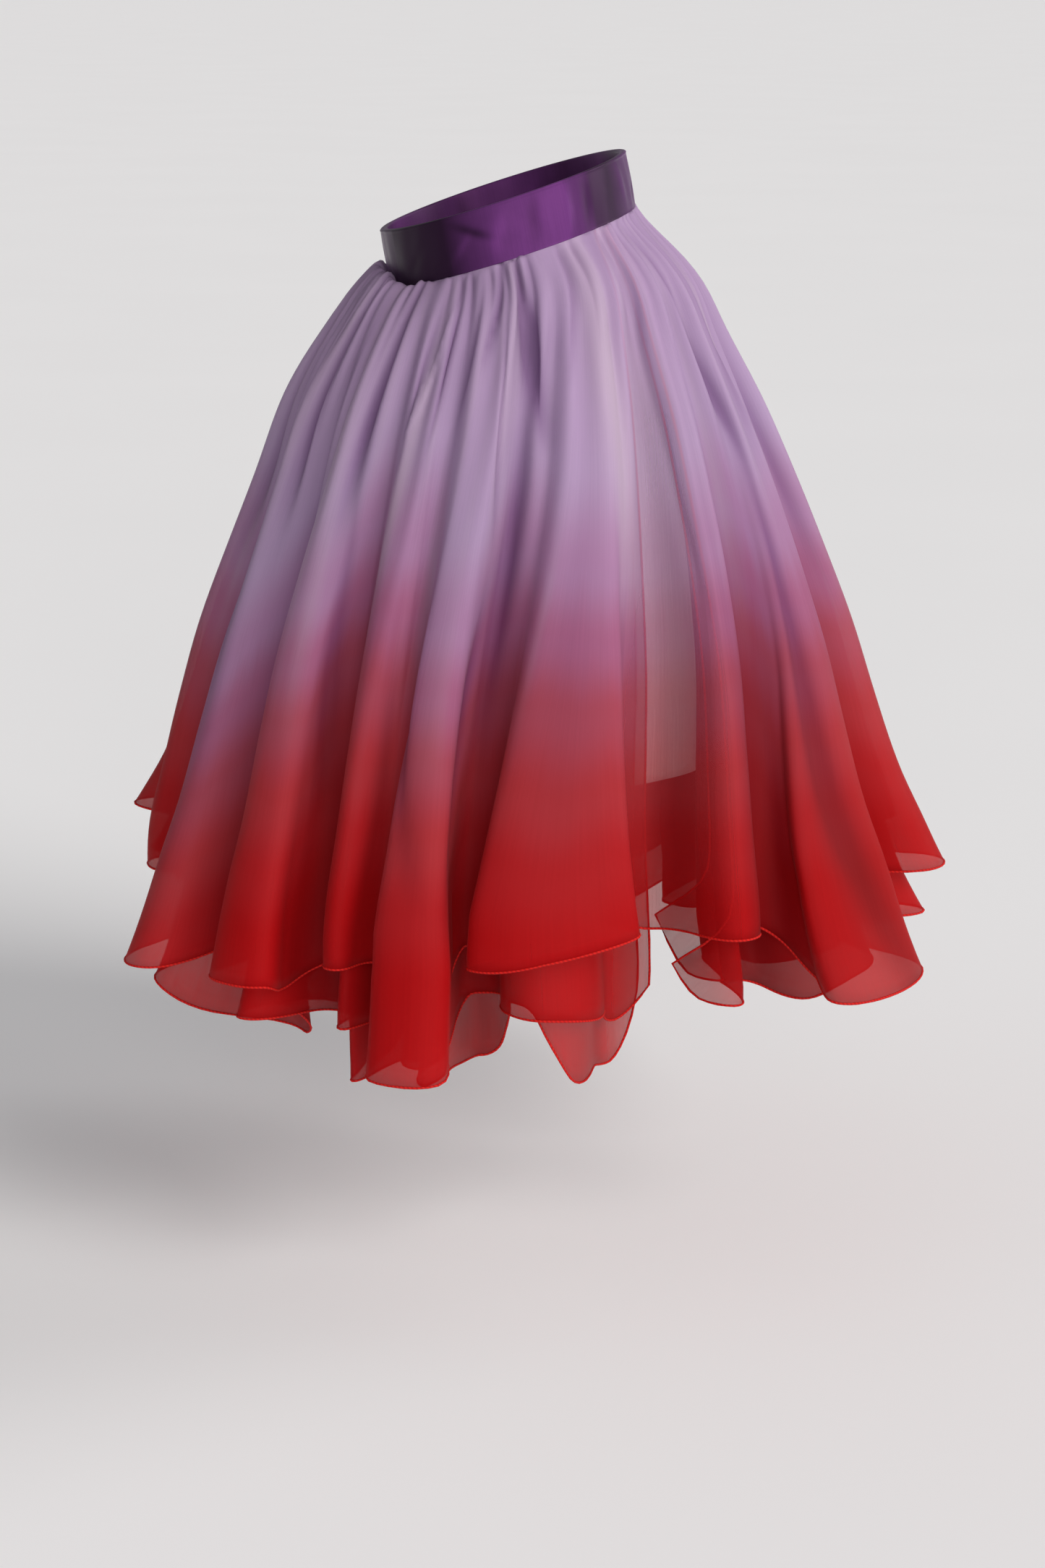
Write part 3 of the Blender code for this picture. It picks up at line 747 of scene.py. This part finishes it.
def organza_surface(layer, parts):
    """The outer face of a gathered layer, how far it lies below the seam, and its traits by name.

    The radius is a mix of the flute's crest and valley, both grown with the fall below the seam, less the
    gathers, which fade out. On that face lie smaller gathers with narrow troughs that fade sooner, the creases,
    and a small flutter at the hem. The traits are the dye, which is the height above the line where lilac has
    turned half way to red, the pale streaks, and painted shade, from 0 on a fold to 1 deep between folds, in the
    creases and in the painted shade patches, which also makes the cloth denser there, and below 0 where the cloth
    hangs flat and alone over the opening of the layers within, which makes it thinner.
    """
    parts = parts[:, None]
    flute, place, gathers = fold_columns(layer.points)
    past = flute + place - OPEN_FLUTE - 1
    if layer.order:
        edge = eased([row.part for row in OPENING], [row.place for row in OPENING], parts)
        first = 1 / (gathers * layer.points)
        moved = edge + (1 - edge) * (place - first) / (1 - first)
        place = np.where((flute == OPEN_FLUTE + 1) & (place > 0), moved, place)
    counted = flute + place
    crest = (1 - np.cos(2 * pi * place)) / 2

    # The line of the layer's own hem, and that of the outer layer's, which the dye follows.
    plateau = 1 - (1 - crest) ** 2
    hem = shared(HEMS, layer.hem, layer.hem + "_valley", flute, place, plateau)
    for lobe in (row for row in LOBES if row.order == layer.order):
        hem = hem - lobe.drop * np.exp(-(((counted - lobe.place) / lobe.half_width) ** lobe.power))
    if layer.order:
        from_edge = np.where(past > 0, counted - OPEN_FLUTE - 1 - edge, -past)
        hem = hem + layer.order * CORNER_RISE * np.clip(1 - from_edge / CORNER_WIDTH, 0, 1) ** 2
    outer_hem = shared(HEMS, "outer", "outer_valley", flute, place, plateau)

    # The ring below the band that the layer hangs from.
    inset = layer.order * (WALL + SEAM_GAP) + SEAM_GAP
    seam_forward = BAND_HEIGHT / 2 * tan(BAND_LEAN)
    at_waist = waist_turn(flute, place)
    seam_radius = ellipse(at_waist, WAIST_HALF_SIDE, WAIST_HALF_DEPTH) - inset
    seam_y = -seam_forward - seam_radius * np.sin(at_waist)
    seam = band_height(seam_y + seam_forward, -BAND_HEIGHT / 2 - SEAM_GAP)

    fall = parts * (seam - hem)
    turn = fold_turn(flute, place, fall, layer.order) + marked(DRIFTS, counted, fall)
    if layer.order:
        near_edge = np.clip(1 + past / SWING_WIDTH, 0, 1) * (past <= 0)
        turn = turn + EDGE_SWING * near_edge * np.clip((fall - SWING_START) / SWING_FALL, 0, 1) ** 1.5
    facing = np.clip(np.cos(turn - radians(BACK_TURN)), 0, 1) ** 2
    shoulder = SHOULDER_FALL * (1 + layer.order * (0.20 + 0.25 * facing))
    spread = 1 - np.exp(-((fall / shoulder) ** 1.4))
    puff = (fall / PUFF_FALL) ** 2 * np.exp(2 - 2 * fall / PUFF_FALL)
    spill = np.clip(0.2 + 0.6 * np.sin(11 * at_waist + 1.3) + 0.5 * np.sin(29 * at_waist + 0.4), 0, 1)
    height = seam - fall + layer.puff * facing * puff
    if layer.order == 0:
        height = height + SPILL * spill * fall / SPILL_FALL * np.exp(1 - fall / SPILL_FALL)

    # The folds between crest and valley, the gathers that run into them, and the way in to the seam.
    heights = [row.height for row in PROFILE][::-1]
    depth = eased(heights, [row.half_depth for row in PROFILE][::-1], height)
    side = eased(heights, [row.half_side for row in PROFILE][::-1], height)
    envelope = ellipse(turn, side, depth)

    reach, valley = both_sides(FLUTES, "reach", "valley", flute, place)
    grown = np.clip(fall / FULL_FALL, 0, 1.15)
    envelope = envelope + BACK_BULGE * facing * np.exp(-(((fall - BULGE_FALL) / (0.65 * BULGE_FALL)) ** 2))
    peak = envelope + reach * parts**8
    low = envelope - valley * grown**1.25
    radius = low + (peak - low) * crest ** (1 + 0.35 * min(layer.order, 1))

    wave = (1 - np.cos(2 * pi * gathers * place)) / 2
    rise = np.clip(fall / GATHER_START, 0, 1)
    fade = np.clip(1 - fall / GATHER_END, 0, 1)
    radius = radius - GATHER_DEPTH * rise * fade * (1 - wave)

    radius = seam_radius + (radius - inset - seam_radius) * spread
    hung = layer.valley_inset + (layer.crest_inset - layer.valley_inset) * crest
    under = np.clip((fall - seam + outer_hem) / UNDER_HEM, 0, 1)
    radius = radius - layer.order * LAYER_GAP * spread - hung * grown * (1 - 0.3 * under)

    forward = seam_forward + (SKIRT_FORWARD - seam_forward) * spread
    points = np.stack([-radius * np.cos(turn), -forward - radius * np.sin(turn), height], axis=-1)

    # The fine relief, raised along the normals of the folds.
    phase = 31.5 * at_waist + 1.5 * np.sin(7 * at_waist + 1) + 0.9 * np.sin(19 * at_waist)
    small = np.sqrt(np.cos(phase + 9 * fall * np.sin(9 * at_waist + 0.7)) ** 2 + 0.02)
    length = SMALL_LENGTH + SMALL_LENGTH_SPREAD * np.sin(13 * at_waist + 2.1 * np.sin(4 * at_waist))
    fading = np.clip(1 - fall / length, 0, 1) ** 1.3
    creased = marked(CREASES, counted, fall)
    raised = SMALL_DEPTH + SMALL_DEPTH_SPREAD * np.sin(5 * at_waist + 1)
    raised = raised * (small - 0.7) * np.clip(fall / 0.006, 0, 1) * fading - creased
    flutter = np.sin(61 * at_waist + 2.0 * np.sin(7 * at_waist)) + 0.6 * np.sin(37 * at_waist + 1.7)
    to_hem = (1 - parts) * (seam - hem)
    raised = raised + FLUTTER * flutter * np.clip(1 - to_hem / FLUTTER_HEIGHT, 0, 1) ** 2
    points = points + facing_out(points) * raised[..., None]

    half_way = shared(FLUTES, "dye", "dye_valley", flute, place, crest)
    # Painted shade: darker and denser in the valleys of the flutes, the troughs of the gathers, the creases and the
    # painted shade patches, and thinner where the cloth hangs flat over the opening.
    hollow = (0.50 * (1 - crest) ** 1.5 * np.clip((fall - 0.10) / 0.22, 0, 1) + 0.24 * (1 - wave) * rise * fade
              + 0.55 * (1 - small) * fading + creased / CREASE_SHADE + marked(PAINTED_SHADE_PATCHES, counted, fall))
    flat = np.exp(-(((past - FLAT_PLACE) / FLAT_HALF_WIDTH) ** 6)) * np.clip(fall / 0.12, 0, 1)
    hollow = hollow * (1 - flat) - FLAT_LIFT * flat
    return points, fall, {"dye": (seam - outer_hem) - fall - half_way,
                          "streaks": marked(PALE_STREAKS, counted, fall),
                          "hollow": np.clip(hollow, -FLAT_LIFT, 1)}


def organza_piece(layer, parts, cut_width):
    """A layer as a thin wall, sewn up into the band by a short edge, with its traits as attributes.

    Also gives the line of its hem and the normals there. The hem of an open layer runs up both sides of the gap.
    """
    points, fall, traits = organza_surface(layer, parts)
    normal = facing_out(points)
    tucked = points[:1] + np.array([0.0, 0.0, TUCK])
    tucked[..., :2] = tucked[..., :2] * TUCK_SHARE
    points = np.concatenate([tucked, points])
    normal = np.concatenate([normal[:1], normal])
    fall = np.concatenate([fall[:1] - TUCK, fall])
    traits = {name: np.concatenate([values[:1], values]) for name, values in traits.items()}
    columns = points.shape[1]
    across = np.linspace(0, cut_width, columns + 1)
    edge, edge_normal = points[-1], normal[-1]
    if layer.order:
        flute = fold_columns(layer.points)[0]
        order = np.roll(np.arange(columns), -np.flatnonzero(flute == OPEN_FLUTE + 1)[0] - 1)
        points, normal, fall = points[:, order], normal[:, order], fall[:, order]
        traits = {name: values[:, order] for name, values in traits.items()}
        edge, edge_normal = (np.concatenate([part[1:-1, 0], part[-1], part[-2:0:-1, -1]])
                             for part in (points, normal))
        across = across[:columns]
        along = fall
    else:
        along = np.append(fall, fall[:, :1], axis=1)
    obj = ring_piece(layer.name + "_cloth", points, across[None, :], along, strip=layer.order > 0)
    for name, values in traits.items():
        give_trait(obj, name, values)
    give_wall(obj, SHEER_WALL)
    return obj, edge, edge_normal


def rolled_hem(name, edge, normal, strip):
    """A hem rolled to a thin cord: a circle carried along the edge, twisted slightly by its overcast stitches."""
    if strip:
        ahead = np.gradient(edge, axis=0)
    else:
        ahead = np.roll(edge, -1, axis=0) - np.roll(edge, 1, axis=0)
    aside = np.cross(ahead, normal)
    aside = aside / np.linalg.norm(aside, axis=-1, keepdims=True)
    angle = np.arange(ROLL_SIDES)[:, None, None] * 2 * pi / ROLL_SIDES
    after = edge[1:] if strip else np.roll(edge, -1, axis=0)
    along = np.append(0, np.cumsum(np.linalg.norm(after - edge[:len(after)], axis=-1)))
    twist = 1 + STITCH_TWIST * np.sin(2 * pi * along[:len(edge)] / STITCH_PITCH)[None, :, None]
    points = edge - normal * SHEER_WALL / 2 + ROLL / 2 * twist * (np.cos(angle) * normal + np.sin(angle) * aside)
    around = np.linspace(0, pi * ROLL, ROLL_SIDES + 1)[:, None]
    return ring_piece(name, points[::-1], along[None, :], around, joined=True, strip=strip)


def dye_group():
    """The dye and the density of organza, with painted shade: a ramp over the distance to the half-way line, blurred
    by bleeding, then darkened by the painted shade between folds.
    """
    group, given = new_group(
        "dyed organza",
        (("Dye", "Float"), ("Place", "Vector"), ("Slubs", "Float"), ("Streaks", "Float"), ("Hollow", "Float"),
         ("Density", "Float", 0.4)),
        (("Color", "Color"), ("Alpha", "Float")))

    def clouds(stretch, **looks):
        """Noise drawn out along the cloth."""
        place = wire(group, "VectorMath", given.outputs["Place"], stretch, operation="MULTIPLY")
        return wire(group, "TexNoise", place, Scale=1.0, **looks)

    bleed = clouds((9.0, 2.2, 1.0), Detail=3.0, Roughness=0.6)
    moved = calc(group, "ADD", given.outputs["Dye"], wire(group, "MapRange", bleed, 0, 1, -0.030, 0.030))
    shade = ramp(group, wire(group, "MapRange", moved, -0.14, 0.16),
                 (0.00, (0.46, 0.005, 0.007)), (0.15, (0.47, 0.015, 0.019)), (0.30, (0.47, 0.040, 0.050)),
                 (0.47, (0.455, 0.085, 0.13)), (0.62, (0.455, 0.16, 0.29)), (0.77, (0.48, 0.27, 0.45)),
                 (1.00, (0.52, 0.385, 0.57)))
    shade.color_ramp.interpolation = "EASE"

    # Pale patches and streaks, which show only above the line between the two colours.
    pale = wire(group, "MapRange", clouds((14.0, 3.0, 1.0), Detail=2.0), 0.52, 0.78, 0, 0.35)
    lighter = calc(group, "ADD", pale, given.outputs["Streaks"], clamp=True)
    up_high = wire(group, "MapRange", given.outputs["Dye"], -0.02, 0.09)
    faded = blend(group, calc(group, "MULTIPLY", lighter, up_high), shade, (0.63, 0.53, 0.61, 1))

    # The painted shade between folds, in creases and in patches darkens the colour and makes the cloth denser, and
    # the red cloth is denser too.
    deep = wire(group, "MapRange", given.outputs["Hollow"], -1.5, 1.0, -1.275, 0.85)
    packed = blend(group, deep, faded, (0.42, 0.30, 0.46, 1), "MULTIPLY")
    uneven = wire(group, "MapRange", given.outputs["Slubs"], 0, 1, 0.86, 1.14)
    red = wire(group, "MapRange", moved, 0.03, -0.07, 1.0, 1.24)
    dyed = calc(group, "MULTIPLY", calc(group, "MULTIPLY", given.outputs["Density"], uneven), red)
    alpha = calc(group, "ADD", dyed, calc(group, "MULTIPLY", deep, 0.22), clamp=True)
    wire(group, "NodeGroupOutput", packed, alpha)
    return group


DYE = dye_group()


def organza_finish(name, density, glow):
    """Sheer organza: dyed threads with gaps between them, a crisp sheen, and light that passes through.

    Part of the light that a ply holds back is scattered on through it, so its shadow is thinner than it looks.
    """
    material, tree, shader = new_material(
        name, Roughness=0.60, Specular_IOR_Level=0.08, Sheen_Weight=0.02, Sheen_Roughness=0.4)
    slubs, bump = weave(tree, 0.00055, 0.00055, 0.035, 0.15, 0.00005)
    # The traits include the painted shade between folds, which darkens the cloth's colour and makes it denser.
    traits = {title: wire(tree, "Attribute", attribute_name=title.lower()).outputs["Fac"]
              for title in ("Dye", "Streaks", "Hollow")}
    cloth = wire(tree, "Group", node_tree=DYE, Place=wire(tree, "TexCoord").outputs["UV"], Slubs=slubs,
                 Density=density, **traits)
    thinned = wire(tree, "MapRange", wire(tree, "LightPath").outputs["Is Shadow Ray"], 0, 1, 1.0, SHADOW_SHARE)
    fill(shader, Base_Color=cloth.outputs["Color"], Normal=bump,
         Alpha=calc(tree, "MULTIPLY", cloth.outputs["Alpha"], thinned))
    through = wire(tree, "BsdfTranslucent", cloth.outputs["Color"])
    fill(tree.nodes["Material Output"], wire(tree, "MixShader", glow, shader, through))
    return material


def hem_finish():
    """The rolled hem: several turns of the red cloth, so it is opaque and brighter, with a fine overcast thread."""
    material, tree, shader = new_material("rolled hem", Roughness=0.70, Specular_IOR_Level=0.12)
    slant = wire(tree, "VectorMath", wire(tree, "TexCoord").outputs["UV"], (1.0, 0.6, 1.0), operation="MULTIPLY")
    stitch = wire(tree, "TexWave", slant, Scale=220.0, Distortion=0.6, bands_direction="DIAGONAL").outputs["Fac"]
    tone = ramp(tree, stitch, (0, (0.36, 0.004, 0.005)), (1, (0.58, 0.014, 0.010)))
    fill(shader, Base_Color=tone, Normal=wire(tree, "Bump", Height=stitch, Strength=0.3, Distance=0.0002))
    return material


HEM_FINISH = hem_finish()
OUTER_PARTS = np.concatenate([np.linspace(0, 0.06, 12)[:-1], np.linspace(0.06, 0.3, 15)[:-1],
                              np.linspace(0.3, 1, 36)])


def sewn_layer(layer, parts, flat):
    cloth, edge, normal = organza_piece(layer, parts, flat[0])
    cloth.data.materials.append(organza_finish(layer.name + " cloth", THREAD_SHARE, GLOW))
    hem = rolled_hem(layer.name + "_hem", edge, normal, layer.order > 0)
    hem.data.materials.append(HEM_FINISH)
    for obj in (cloth, hem):
        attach(obj, "root")
    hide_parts(layer.name)


sewn_layer(OUTER, OUTER_PARTS, (4.25, 0.47))

# ------------------------------------------------------------
# Middle organza. The second layer, cut and gathered as the first, and longer in places, so that its rolled hem
# shows below the first one as a wide sheer curve.
# ------------------------------------------------------------
MIDDLE = Layer("middle_organza", "middle", 1, 0.018, 0.017, 0.000, 12)
INNER_PARTS = np.concatenate([np.linspace(0, 0.08, 10)[:-1], np.linspace(0.08, 0.3, 10)[:-1],
                              np.linspace(0.3, 1, 34)])
sewn_layer(MIDDLE, INNER_PARTS, (4.25, 0.50))

# ------------------------------------------------------------
# Inner organza. The third layer, next to the lining, whose lobes hang lowest between the flutes of the others.
# ------------------------------------------------------------
INNER = Layer("inner_organza", "inner", 2, 0.034, 0.030, 0.000, 12)
sewn_layer(INNER, INNER_PARTS, (4.25, 0.51))

# ------------------------------------------------------------
# Studio. A pale floor without an edge, soft light from above the camera's right, and the photograph's view: from
# the wearer's right side, a little above the waist and looking down.
# ------------------------------------------------------------
FLOOR_HEIGHT = -0.72
FLOOR_HALF = 400.0
SUN_ANGLE = radians(30)
CAMERA_PLACE = (-2.40, -0.0103, 0.18)
CAMERA_DOWN = 13.8
CAMERA_LENS = 77.71
PALE = (0.90, 0.90, 0.91)


def studio_floor():
    """One large square with a matt pale finish."""
    mesh = bpy.data.meshes.new("studio_floor")
    corners = [(x * FLOOR_HALF, y * FLOOR_HALF, FLOOR_HEIGHT) for x, y in ((-1, -1), (1, -1), (1, 1), (-1, 1))]
    mesh.from_pydata(corners, [], [(0, 1, 2, 3)])
    material, tree, shader = new_material("pale floor", Roughness=0.9)
    mottle = wire(tree, "TexNoise", wire(tree, "TexCoord").outputs["Object"], Scale=1.5, Detail=3.0)
    fill(shader, Base_Color=ramp(tree, mottle, (0, [0.97 * value for value in PALE]), (1, PALE)))
    mesh.materials.append(material)
    return in_scene("studio_floor", mesh)


def soft_sun(name, place, power, colour):
    """Even light from the direction of this place, with the soft edge of a large source."""
    light = bpy.data.lights.new(name, "SUN")
    light.energy = power
    light.color = colour
    light.angle = SUN_ANGLE
    in_scene(name, light).rotation_euler = (-Vector(place)).to_track_quat("-Z", "Y").to_euler()


studio_floor()
soft_sun("key", (-1.9, -1.9, 1.6), 2.2, (1.0, 0.97, 0.94))
soft_sun("front", (-2.4, -0.15, 0.5), 1.15, (1.0, 0.98, 0.97))
soft_sun("rim", (0.9, -2.4, 1.2), 1.2, (1.0, 0.98, 0.97))

world = bpy.data.worlds.new("studio")
world.use_nodes = True
world.node_tree.nodes["Background"].inputs["Color"].default_value = (0.92, 0.92, 0.94, 1)
world.node_tree.nodes["Background"].inputs["Strength"].default_value = 0.27
bpy.context.scene.world = world
bpy.context.scene.view_settings.view_transform = "Standard"

camera = bpy.data.cameras.new("camera")
camera.lens = CAMERA_LENS
camera.sensor_width = 36.0
camera.clip_end = 1000.0
camera_object = in_scene("camera", camera)
camera_object.location = CAMERA_PLACE
camera_object.rotation_euler = (radians(90 - CAMERA_DOWN), 0, radians(-90))
bpy.context.scene.camera = camera_object
